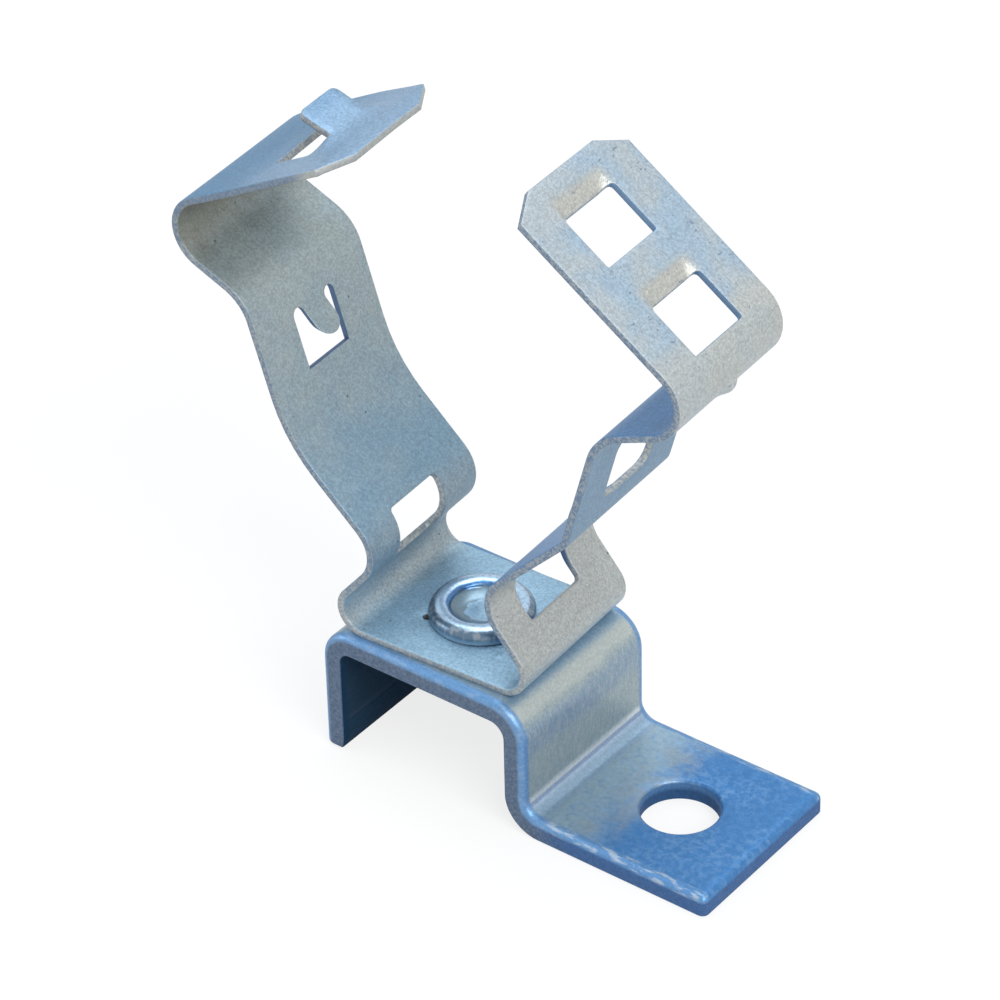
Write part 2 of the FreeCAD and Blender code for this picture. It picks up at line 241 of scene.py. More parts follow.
# matte zinc on the spring steel: fine painted glints, blue on the flats, warm and pale where bent or rubbed,
# a painted highlight on the window lips, painted shade high on the shoulder and painted light on the base
springLook = {"base": (0.27, 0.43, 0.56, 1), "arm": (0.30, 0.355, 0.365, 1),
              "armBlue": (0.18, 0.285, 0.37, 1), "shoulder": (0.195, 0.205, 0.18, 1),
              "flapDeep": (0.07, 0.19, 0.33, 1), "flapPale": (0.20, 0.31, 0.44, 1),
              "warm": (0.40, 0.405, 0.375, 1), "lip": (0.42, 0.425, 0.40, 1),
              "flap": (0.29, 0.385, 0.475, 1), "flapWarm": (0.36, 0.41, 0.44, 1),
              "outer": (0.14, 0.235, 0.335, 1), "rightInside": (0.08, 0.20, 0.385, 1),
              "flapWall": (0.14, 0.24, 0.38, 1), "worn": (0.30, 0.30, 0.265, 1),
              "edge": (0.13, 0.19, 0.28, 1), "sheared": (0.46, 0.46, 0.41, 1), "wall": (0.035, 0.09, 0.21, 1),
              "pit": (0.045, 0.06, 0.08, 1), "scratch": (0.09, 0.13, 0.19, 1),
              "metal": 0.45, "rough": 0.44, "gloss": 0.3,
              "baseTo": (0.0195, 0.0225), "blueTo": (0.046, 0.030), "shoulderAt": (0.0555, 0.0595),
              "wornTo": (-0.0335, -0.0395), "leftTo": (-0.030, -0.026), "flapAt": (0.0615, 0.0625),
              "paleAt": (-0.052, -0.041), "rightAt": (-0.0185, -0.0165), "rightUp": (0.0185, 0.0200),
              "catchAt": (0.0535, 0.0565), "lipSheenAt": (0.86, 0.93), "topAt": (0.0605, 0.0625),
              "noseAt": (-0.0415, -0.0385), "lowWindowTo": (0.035, 0.032)}


def springSteel(c):
    f = Finish(bpy.data.materials.new("springSteel"))
    x, z = f.axis("X"), f.axis("Z")
    inside, cut, bore, rubAndSheen = (f.attribute(n) for n in ("inside", "cut", "bore", "rubAndSheen"))
    warp = f.noise(5.0, 3) * 0.006 - 0.003
    cloud = f.step(f.noise(6.5, 3), 0.38, 0.62)
    onBase = 1 - f.step(z, *c["baseTo"])
    onLeft = 1 - f.step(x, *c["leftTo"])
    onRight = f.step(x, *c["rightAt"]) * f.step(z, *c["rightUp"])
    catchFlap = f.step(z, *c["catchAt"])

    arm = f.blend(c["arm"], c["armBlue"], f.step(z + warp, *c["blueTo"]) * 0.8 + cloud * 0.25)
    # painted shade: darker across the concave shoulder high on the arm
    arm = f.blend(arm, c["shoulder"], f.step(z + warp, *c["shoulderAt"]))
    # the base's blue is set lighter than the zinc's own, painted light that makes up for the shade the arms
    # cast on it
    base = f.blend(c["base"], c["worn"], f.step(x + warp, *c["wornTo"]) * 0.6)
    body = f.blend(arm, base, onBase)
    onFlap = f.step(z, *c["flapAt"]) * (1 - inside) * onLeft
    body = f.blend(body, f.blend(c["flapDeep"], c["flapPale"], f.step(x + warp, *c["paleAt"])), onFlap)
    outer = f.blend(c["outer"], f.blend(c["flap"], c["flapWarm"], cloud), catchFlap)
    body = f.blend(body, f.blend(outer, c["rightInside"], inside), onRight)
    # warm and pale where bent or rubbed; on the window lips paler still, a painted highlight where their tilt
    # faces the light
    body = f.blend(body, f.blend(c["warm"], c["lip"], f.step(rubAndSheen, *c["lipSheenAt"])), rubAndSheen)

    # grain, painted glints, pits and the scuffs of the right flap
    grain = f.step(f.noise(0.3, 2, roughness=0.7), 0.34, 0.66)
    blotch = f.noise(0.9, 4, roughness=0.6)
    body = f.blend(body, 0.70 + grain * 0.28 + blotch * 0.30, 1.0, "MULTIPLY")
    # painted glints: pale specks, more of them on the rubbed bends and window lips
    paintedGlint = f.step(f.noise(0.2, 2, roughness=0.8), 0.60, 0.72)
    body = f.blend(body, grey(0.85), paintedGlint * (0.22 + rubAndSheen * 0.4))
    pits = f.step(f.cells(1.9), 0.10, 0.05) * f.step(f.noise(4, 2), 0.5, 0.56)
    pits = pits * (1 - catchFlap * onRight * 0.7)
    body = f.blend(body, c["pit"], pits * 0.75)
    flaws = f.step(f.noise(0.5, 4, (1, 2.4, 1), 0.6), 0.62, 0.67) * f.step(f.noise(3.5, 2), 0.44, 0.54)
    flaws = flaws * onRight * (1 - inside) * catchFlap
    body = f.blend(body, c["scratch"], flaws * 0.6)

    # the sheared edges, and the walls of the windows: pale where they face the light
    speck = f.step(f.noise(0.35, 4, roughness=0.7), 0.42, 0.60)
    top = f.step(z, *c["topAt"]) * onLeft
    onNose = top * f.step(x, *c["noseAt"])
    side = f.blend(c["edge"], c["sheared"], speck * (0.55 - top * 0.3) + onNose * 0.6 + onBase * 0.35)
    wall = f.blend(c["wall"], c["flapWall"], catchFlap * onRight)
    lit = onRight * (1 - catchFlap) + top + onLeft * f.step(z, *c["lowWindowTo"])
    side = f.blend(side, f.blend(wall, c["sheared"], lit * (0.5 + speck * 0.5)), bore * 0.9)
    body = f.blend(body, side, cut * 0.9)
    rough = c["rough"] + paintedGlint * 0.1 + cut * 0.1
    height = grain * 0.6 + blotch * 0.7 - pits - flaws * 0.5
    return f.surface({"Base Color": body, "Metallic": c["metal"], "Roughness": rough,
                      "Specular IOR Level": c["gloss"], "Normal": f.bump(height, 0.035, 0.7)})


# bright rivet: rings of painted reflection, light and dark, round its rolled end, with a painted shadow line
# at its foot; their radii in metres
rivetLook = {"bright": (0.42, 0.58, 0.74, 1), "wall": (0.12, 0.19, 0.27, 1), "lip": (0.06, 0.17, 0.38, 1),
             "cone": (0.15, 0.22, 0.26, 1), "floor": (0.32, 0.50, 0.66, 1), "streakReflection": (0.46, 0.49, 0.50, 1),
             "smear": (0.17, 0.28, 0.43, 1), "gap": (0.03, 0.05, 0.07, 1), "metal": 0.8, "rough": 0.3,
             "centre": -0.026, "coneFrom": 0.0019, "lipFrom": 0.00345, "brightFrom": 0.0039,
             "wallFrom": 0.0051, "soft": 0.00012, "wallUp": (0.0166, 0.0176), "footShadowTo": (0.01675, 0.01662)}


def brightRivet(c):
    f = Finish(bpy.data.materials.new("brightRivet"))
    x, y, z = f.axis("X"), f.axis("Y"), f.axis("Z")
    dx = x - c["centre"]
    r2 = dx * dx + y * y
    wander = f.noise(1.2, 3) * 0.000004 - 0.000002

    def beyond(radius):
        return f.step(r2 + wander, (radius - c["soft"]) ** 2, (radius + c["soft"]) ** 2)

    outer = beyond(c["wallFrom"])
    # painted reflections in rings: a pale floor and crest, a grey cone, a dark blue line at the mouth and a
    # dark outer wall
    body = f.blend(c["floor"], c["cone"], beyond(c["coneFrom"]))
    body = f.blend(body, c["lip"], beyond(c["lipFrom"]))
    body = f.blend(body, c["bright"], beyond(c["brightFrom"]))
    body = f.blend(body, c["wall"], outer * f.step(z, *c["wallUp"]))
    # painted reflection: pale streaks down the outer wall
    streakReflection = f.step(f.noise(0.5, 3, (1, 1, 5)), 0.46, 0.62)
    body = f.blend(body, c["streakReflection"], outer * streakReflection * 0.4)
    smear = f.step(f.noise(0.35, 4, roughness=0.7), 0.46, 0.64)
    body = f.blend(body, c["smear"], (1 - outer) * smear * 0.55)
    # painted shadow: a dark line round the foot of the ring where it meets the clip
    body = f.blend(body, c["gap"], outer * f.step(z, *c["footShadowTo"]))
    height = f.noise(0.5, 3, roughness=0.6)
    return f.surface({"Base Color": body, "Metallic": c["metal"], "Roughness": c["rough"],
                      "Normal": f.bump(height, 0.015, 0.5)})


zinc = zincPlate(zincLook)
spring = springSteel(springLook)
bright = brightRivet(rivetLook)
print("materials made")


# least gaps of a blank's mesh, in mm: from its end to a line, between lines, from a line to a stamped
# corner, from a free point to a rim or past the rim's rounding, and between points of an edge across
gaps = {"end": 0.2, "line": 0.16, "corner": 0.14, "rim": 0.22, "pastRound": 0.1, "across": 0.8}


# a strip's path: corners and bend radii in mm, as points along straight legs and arcs
class Path:
    def __init__(self, corners, bends, stepDegrees):
        self.points = [Vector(corners[0])]
        self.legs = []     # length along the path at each leg's first corner, as if unbent
        self.bends = []    # each bend's first and last length along the path, and its steps
        along = 0.0
        run = 0.0
        for i in range(len(corners) - 1):
            a, b = Vector(corners[i]), Vector(corners[i + 1])
            d = (b - a).normalized()
            self.legs.append(along - run)
            nextRun, turn = 0.0, 0.0
            if i < len(corners) - 2:
                e = (Vector(corners[i + 2]) - b).normalized()
                turn = math.atan2(d.x * e.y - d.y * e.x, d.dot(e))
                nextRun = bends[i + 1] * math.tan(abs(turn) / 2)
            stop = b - d * nextRun
            along += (stop - self.points[-1]).length
            self.points.append(stop)
            if nextRun:
                side = 1 if turn > 0 else -1
                centre = stop + Vector((-d.y, d.x)) * bends[i + 1] * side
                steps = max(3, round(abs(math.degrees(turn)) / stepDegrees))
                first = along
                v = stop - centre
                for k in range(1, steps + 1):
                    angle = turn * k / steps
                    p = centre + Vector((v.x * math.cos(angle) - v.y * math.sin(angle),
                                         v.x * math.sin(angle) + v.y * math.cos(angle)))
                    along += (p - self.points[-1]).length
                    self.points.append(p)
                self.bends.append((first, along, steps))
            run = nextRun
        self.length = along

    def curve(self, name):
        data = bpy.data.curves.new(name, "CURVE")
        data.dimensions = "3D"
        line = data.splines.new("POLY")
        line.points.add(len(self.points) - 1)
        for point, p in zip(line.points, self.points):
            point.co = (p.x * mm, 0, p.y * mm, 1)
        return bpy.data.objects.new(name, data)

    def lines(self, spacing, fine=()):
        # cross lines for a flat blank: every facet of a bend, evenly on the flats, closer where asked
        stops = [0.0]
        for first, last, steps in self.bends:
            flat = max(1, round((first - stops[-1]) / spacing))
            start = stops[-1]
            stops += [start + (first - start) * k / flat for k in range(1, flat + 1)]
            stops += [first + (last - first) * k / steps for k in range(1, steps + 1)]
        flat = max(1, round((self.length - stops[-1]) / spacing))
        start = stops[-1]
        stops += [start + (self.length - start) * k / flat for k in range(1, flat)]
        for low, high, gap in fine:
            stops += [low + gap * k for k in range(int((high - low) / gap) + 1)]
        return thinned(s for s in stops[1:] if gaps["end"] < s < self.length - gaps["end"])


def thinned(values):
    kept = []
    for v in sorted(values):
        if not kept or v - kept[-1] > gaps["line"]:
            kept.append(v)
    return kept


def roundedBox(s0, s1, y0, y1, corners, steps=4):
    # closed outline, anticlockwise from (s0, y0), one radius for each corner
    out = []
    for (s, y, a), r in zip(((s0, y0, 180), (s1, y0, 270), (s1, y1, 0), (s0, y1, 90)), corners):
        cs = s + r if s == s0 else s - r
        cy = y + r if y == y0 else y - r
        for k in range(steps + 1 if r else 1):
            t = math.radians(a + 90 * k / steps)
            out.append((cs + r * math.cos(t), cy + r * math.sin(t)))
    return out


def ring(s, y, r, steps):
    turns = [2 * math.pi * k / steps for k in range(steps)]
    return [(s + r * math.cos(a), y + r * math.sin(a)) for a in turns]


def insideLoop(p, loop):
    odd = False
    for a, b in zip(loop, loop[1:] + loop[:1]):
        if (a[1] > p[1]) != (b[1] > p[1]) and p[0] < (b[0] - a[0]) * (p[1] - a[1]) / (b[1] - a[1]) + a[0]:
            odd = not odd
    return odd


def offLoop(p, loop):
    best = math.inf
    for a, b in zip(loop, loop[1:] + loop[:1]):
        hit, t = geometry.intersect_point_line(p, Vector(a), Vector(b))
        t = min(1, max(0, t))
        best = min(best, (Vector(a).lerp(Vector(b), t) - p).length)
    return best


def splitAcross(loop):
    # edges that run across the strip get points of their own, so that they can bend
    out = []
    for a, b in zip(loop, loop[1:] + loop[:1]):
        ds, dy = b[0] - a[0], b[1] - a[1]
        parts = max(1, round(abs(dy) / gaps["across"])) if abs(dy) > abs(ds) else 1
        out += [(a[0] + ds * k / parts, a[1] + dy * k / parts) for k in range(parts)]
    return out


# the stamped strip in one plane, outline first: lines across it to fold at, free points for pressed shapes
def cutFlat(loops, sLines, yLines, off):
    verts = [Vector(p) for loop in loops for p in loop]
    edges = []
    at = 0
    for loop in loops:
        edges += [(at + k, at + (k + 1) % len(loop)) for k in range(len(loop))]
        at += len(loop)
    spans = [(min(p[0] for p in loop) - 1, max(p[0] for p in loop) + 1) for loop in loops]
    reach = max(p[1] for p in loops[0]) + 1
    for s in sLines:
        edges.append((len(verts), len(verts) + 1))
        verts += [Vector((s, -reach)), Vector((s, reach))]
        close = [loop for loop, (low, high) in zip(loops, spans) if low < s < high]
        row = [Vector((s, y)) for y in yLines]
        verts += [p for p in row if all(offLoop(p, loop) > off for loop in close)]
    cut = geometry.delaunay_2d_cdt(verts, edges, [], 0, 1e-5)
    points, faces = cut[0], cut[2]
    flat = bmesh.new()
    used = {}
    for face in faces:
        mid = sum((points[i] for i in face), Vector((0, 0))) / len(face)
        if not insideLoop(mid, loops[0]) or any(insideLoop(mid, hole) for hole in loops[1:]):
            continue
        for i in face:
            if i not in used:
                used[i] = flat.verts.new((points[i].x, points[i].y, 0))
        flat.faces.new([used[i] for i in face])
    bmesh.ops.recalc_face_normals(flat, faces=flat.faces[:])
    if sum(f.normal.z for f in flat.faces) < 0:
        bmesh.ops.reverse_faces(flat, faces=flat.faces[:])
    bmesh.ops.join_triangles(flat, faces=flat.faces[:], angle_face_threshold=0.1, angle_shape_threshold=0.4)
    flat.verts.index_update()
    return flat


# for each rim point: how far it moves in for a rounding of one, its two roundings, and 1 on a hole
def rimFacts(flat, outline, outlineRounds, holeRounds):
    facts = {}
    for v in flat.verts:
        rims = [e for e in v.link_edges if e.is_boundary]
        if not rims:
            continue
        normals = []
        for e in rims:
            d = (e.other_vert(v).co - v.co).xy.normalized()
            side = Vector((-d.y, d.x))
            middle = e.link_faces[0].calc_center_median().xy - v.co.xy
            normals.append(side if side.dot(middle) > 0 else -side)
        inward = (normals[0] + normals[-1]) / max(0.6, 1 + normals[0].dot(normals[-1]))
        if offLoop(v.co.xy, outline) < 1e-3:
            facts[v.index] = (inward, outlineRounds, 0.0)
        else:
            facts[v.index] = (inward, holeRounds, 1.0)
    return facts


# a flat blank: stamped outline and holes, true thickness, each sheared edge rounded by its own radii
def flatBlank(outline, holes, sLines, yLines, thick, outlineRounds, holeRounds, shape, arcSteps, rubbedAndSheen=None):
    loops = [outline] + holes
    corners = {round(p[0], 3) for loop in loops for p in loop}
    sLines = [s for s in sLines if all(abs(s - e) > gaps["corner"] for e in corners)]
    loops = [splitAcross(loop) for loop in loops]
    flat = cutFlat(loops, sLines, yLines, max(gaps["rim"], holeRounds[0] + gaps["pastRound"]))
    rims = rimFacts(flat, loops[0], outlineRounds, holeRounds)
    notRim = (Vector((0, 0)), (0, 0), 0.0)
    made = bmesh.new()
    cutLayer = made.verts.layers.float.new("cut")
    insideLayer = made.verts.layers.float.new("inside")
    boreLayer = made.verts.layers.float.new("bore")
    rubAndSheenLayer = made.verts.layers.float.new("rubAndSheen")
    half = thick / 2
    # the clip, which is given the map of rubbed bends and painted lip highlights, has its inside on the upper
    # skin, the bracket on the lower
    facing = 1 if rubbedAndSheen else -1

    def place(v, inset, n, cutValue):
        inward, _, bore = rims.get(v.index, notRim)
        p = v.co.xy + inward * inset
        new = made.verts.new(Vector(shape(p.x, p.y, n)) * mm)
        new[cutLayer] = cutValue
        new[insideLayer] = 1.0 if n * facing > 0 else 0.0
        new[boreLayer] = bore
        new[rubAndSheenLayer] = rubbedAndSheen(p.x, p.y, n) if rubbedAndSheen else 0.0
        return new

    # a rim's column: a quarter round off the upper skin, the cut wall, a quarter round to the lower skin
    top, low, columns = {}, {}, {}
    for v in flat.verts:
        up, down = rims.get(v.index, notRim)[1]
        top[v.index] = place(v, up, half, 0)
        low[v.index] = place(v, down, -half, 0)
        if v.index not in rims:
            continue
        column = [top[v.index]]
        turns = [math.pi / 2 * k / arcSteps for k in range(1, arcSteps + 1)]
        for a in turns:
            n = half - up * (1 - math.cos(a))
            column.append(place(v, up * (1 - math.sin(a)), n, 1.0 if a == turns[-1] else 0.0))
        for a in reversed(turns):
            n = -half + down * (1 - math.cos(a))
            column.append(place(v, down * (1 - math.sin(a)), n, 1.0 if a == turns[-1] else 0.6))
        columns[v.index] = column + [low[v.index]]
    for f in flat.faces:
        made.faces.new([top[v.index] for v in f.verts])
        made.faces.new([low[v.index] for v in reversed(f.verts)])
    for e in flat.edges:
        if e.is_boundary:
            loop = e.link_loops[0]
            a, b = columns[loop.vert.index], columns[loop.link_loop_next.vert.index]
            for k in range(len(a) - 1):
                made.faces.new((b[k], a[k], a[k + 1], b[k + 1]))
    flat.free()
    return made


# Geometry Nodes: folds a flat blank along a profile curve, then turns and places it
def foldTree():
    tree = bpy.data.node_groups.new("foldStrip", "GeometryNodeTree")
    for name, kind in (("Blank", "Geometry"), ("Profile", "Object"), ("Turn", "Float"),
                       ("Place", "Vector"), ("Finish", "Material")):
        tree.interface.new_socket(name, in_out="INPUT", socket_type="NodeSocket" + kind)
    tree.interface.new_socket("Folded", in_out="OUTPUT", socket_type="NodeSocketGeometry")

    def add(kind, inputs, **settings):
        made = tree.nodes.new(kind)
        for key, value in settings.items():
            setattr(made, key, value)
        for key, value in inputs.items():
            if isinstance(value, bpy.types.NodeSocket):
                tree.links.new(value, made.inputs[key])
            else:
                made.inputs[key].default_value = value
        return made.outputs

    given = add("NodeGroupInput", {})
    profile = add("GeometryNodeObjectInfo", {"Object": given["Profile"]}, transform_space="ORIGINAL")
    where = add("GeometryNodeInputPosition", {})
    split = add("ShaderNodeSeparateXYZ", {0: where[0]})
    # a point's x is its length along the profile, its z the height off the sheet's middle
    sample = add("GeometryNodeSampleCurve", {"Curves": profile["Geometry"], "Length": split["X"]},
                 mode="LENGTH")
    across = add("ShaderNodeVectorMath", {0: sample["Tangent"], 1: (0, 1, 0)}, operation="CROSS_PRODUCT")
    upright = add("ShaderNodeVectorMath", {0: across[0]}, operation="NORMALIZE")
    lift = add("ShaderNodeVectorMath", {0: upright[0], "Scale": split["Z"]}, operation="SCALE")
    wide = add("ShaderNodeCombineXYZ", {"Y": split["Y"]})
    lifted = add("ShaderNodeVectorMath", {0: sample["Position"], 1: lift[0]})
    folded = add("ShaderNodeVectorMath", {0: lifted[0], 1: wide[0]})
    bend = add("GeometryNodeSetPosition", {"Geometry": given["Blank"], "Position": folded[0]})
    swing = add("ShaderNodeCombineXYZ", {"Z": given["Turn"]})
    move = add("GeometryNodeTransform", {"Geometry": bend[0], "Rotation": swing[0],
                                         "Translation": given["Place"]})
    smooth = add("GeometryNodeSetShadeSmooth", {"Geometry": move[0]})
    real = add("GeometryNodeRealizeInstances", {0: smooth[0]})
    coat = add("GeometryNodeSetMaterial", {"Geometry": real[0], "Material": given["Finish"]})
    add("NodeGroupOutput", {0: coat[0]})
    return tree


def foldBlank(name, blank, path, tree, turn, place, finish):
    profile = path.curve(name + "Profile")
    scene.collection.objects.link(profile)
    mesh = bpy.data.meshes.new(name + "Blank")
    blank.to_mesh(mesh)
    blank.free()
    rough = bpy.data.objects.new(name + "Blank", mesh)
    scene.collection.objects.link(rough)
    mod = rough.modifiers.new("fold", "NODES")
    mod.node_group = tree
    sockets = {s.name: s.identifier for s in tree.interface.items_tree if s.in_out == "INPUT"}
    settings = {"Profile": profile, "Turn": math.radians(turn), "Place": place, "Finish": finish}
    for key, value in settings.items():
        mod[sockets[key]] = value
    rough.update_tag()
    graph = bpy.context.evaluated_depsgraph_get()
    done = bpy.data.meshes.new_from_object(rough.evaluated_get(graph), preserve_all_data_layers=True,
                                           depsgraph=graph)
    done.name = name
    bpy.data.objects.remove(rough)
    bpy.data.objects.remove(profile)
    done.set_sharp_from_angle(angle=sharp)
    obj = bpy.data.objects.new(name, done)
    scene.collection.objects.link(obj)
    return obj


tree = foldTree()


def ease(v, low, high):
    t = min(1, max(0, (v - low) / (high - low)))
    return t * t * (3 - 2 * t)


# bracket, in mm: leg, top plate, web and foot from one strip. roll and holeRoll round the upper skin's
# edges, burr the lower skin's. The last row is the mesh: gaps between lines, from the sides, ends and holes
bracket = {"width": 22.0, "thick": 2.5, "legX": -39.5, "webX": -12.5, "footEnd": 10.9, "top": 15.8,
           "legBend": 1.35, "webBend": 1.8, "footCorner": 0.8, "legCorner": 0.5, "roll": 0.85, "burr": 0.12,
           "hole": 4.35, "holeRoll": 0.4, "blunt": 0.7, "bluntRun": 0.9, "rivetX": -26.0, "shank": 3.2,
           "lineGap": 1.6, "rows": 16, "sideGap": 1.0, "endGap": 1.1, "holeGap": (0.02, 0.15)}


def makeBracket(c):
    mid = c["thick"] / 2
    leg, web, webBend = c["legX"] + mid, c["webX"] - mid, c["webBend"] + mid
    corners = [(leg, 0), (leg, c["top"] - mid), (web, c["top"] - mid), (web, mid), (c["footEnd"], mid)]
    path = Path(corners, [0, c["legBend"] + mid, webBend, webBend, 0], 5)
    half = c["width"] / 2
    legCorner, footCorner = c["legCorner"], c["footCorner"]
    outline = roundedBox(0, path.length, -half, half, (legCorner, footCorner, footCorner, legCorner))
    round1, round2 = (path.legs[3] - web, c["hole"]), (path.legs[1] + c["rivetX"] - leg, c["shank"])
    holes = [ring(round1[0], 0, round1[1], 64), ring(round2[0], 0, round2[1], 40)]
    inner = half - c["sideGap"]
    yLines = [-inner + 2 * inner * k / c["rows"] for k in range(c["rows"] + 1)]
    sLines = [s for s in path.lines(c["lineGap"]) if c["endGap"] < s < path.length - c["endGap"]]
    # no line runs just outside a hole, where the hole's rolled rim would cross it
    within, past = c["holeGap"]
    for at, r in (round1, round2):
        sLines = [s for s in sLines if not r - within < abs(s - at) < r + c["holeRoll"] + past]

    def shape(s, y, n):
        # the leg's lower end is blunt on its inner side too
        if n < 0:
            n *= c["blunt"] + (1 - c["blunt"]) * ease(s, 0, c["bluntRun"])
        return s, y, n

    blank = flatBlank(outline, holes, sLines, yLines, c["thick"], (c["roll"], c["burr"]),
                      (c["holeRoll"], c["burr"]), shape, 4)
    obj = foldBlank("bracketSteel", blank, path, tree, 0, (0, 0, 0), zinc)
    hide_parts("bracket")
    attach(obj, "base")


makeBracket(bracket)
print("bracket made")


# spring clip, in mm and degrees. A leg of an arm has its length, its angle and the bend at its end,
# outwards from the base. What is stamped or pressed lies at a length along its own leg.
#   lowWindow: below and above the first bend, corner; leftLow, rightLow: sides of that window
#   sideWindow: start, length, half width, corner; slot: the same without the corner
#   tongue: half width, length, bend, bend's radius; nose, tip: half width at the end, run of the taper
#   tabHole: start, end, half width, shoulder; tab: root, length, half width, lift, bend's radius, corner
#   sideLift: how far aside, from where and how far past the opening the sheet lifts with the tab
#   flapRise: from, to, raise, twist; flapSag: from, to, width, depth
#   windows: start, shift, half width; lip: run, half width, drop, back, past; lipCurve: height, hook, root
#   pip: bend's radius, place round it, height, crown, foot; basePip: the same from the rivet
#   dent: place, depth, spread, narrowing; foldRub, lipSheen, lowRub, bendRub: strength and reaches of the
#       rub, and of the painted highlight on the window lips
clip = {"width": 19.2, "thick": 0.8, "turn": 2.85, "baseHalf": 14.85, "baseBend": 2.8, "edge": 0.09,
        "hole": 3.25,
        "left": ((13.98, 129.4, 4.3), (16.1, 43.6, 19.0), (16.3, 72.8, 5.5), (15.0, 24.8, 4.2),
                 (27.0, 151.8, 2.5), (2.3, 169.8, 0)),
        "right": ((13.98, 129.4, 4.3), (15.85, 45.1, 2.5), (14.9, 74.6, 5.5), (15.0, 21.2, 4.2),
                  (30.2, 144.0, 0)),
        "lowWindow": (5.75, 3.75, 0.5), "leftLow": (-4.5, 3.7), "rightLow": (-4.9, 4.15),
        "sideWindow": (2.9, 8.4, 4.2, 1.6), "slot": (5.3, 6.8, 3.5), "tongue": (1.8, 4.45, 27.0, 1.6),
        "nose": (5.7, 2.25), "tip": (5.7, 2.2), "tabHole": (17.4, 23.95, 4.9, 2.4), "tabHoleCorner": 0.3,
        "tab": (25.2, 5.7, 2.95, 47.0, 6.0, 0.8), "tabGap": 0.12, "sideLift": (6.8, 22.0, 0.6), "slack": 0.05,
        "flapRise": (3.5, 12.5, 0.17, 0.042), "flapSag": (20, 27, 9, 0.25),
        "windows": ((7.25, 0.0, 4.3), (19.35, -0.45, 4.35)), "windowLength": 6.4,
        "windowCorners": (0.25, 0.6, 0.6, 0.25), "lip": (2.2, 2.9, 0.85, 0.7, 0.6),
        "lipCurve": (1.08, 0.1, 0.2), "dieHole": (-4.68, -3.53, 0.55), "pip": (4.2, 45, 0.65, 0.2, 1.7),
        "basePip": (5.6, -5.1, 0.08, 0.1, 0.5), "dent": (3.8, 0.08, 0.9, 0.7),
        "foldRub": (0.65, 1.0, 5.0, 0.5, 3.0), "lipSheen": (0.6, 0.7, 0.5, 3.4, 5.2),
        "lowRub": (0.8, 1.5, 4, 4, 10), "bendRub": (0.45, 2.0, 1.6, 2.0, 0.5), "lineGap": 1.2}


def armCorners(side, c):
    p = Vector((side * c["baseHalf"], c["thick"] / 2))
    corners, bends = [p], [c["baseBend"]]
    for length, angle, bend in c["left" if side < 0 else "right"]:
        a = math.radians(angle)
        p = p + Vector((side * math.cos(a), math.sin(a))) * length
        corners.append(p)
        bends.append(bend)
    return corners, bends


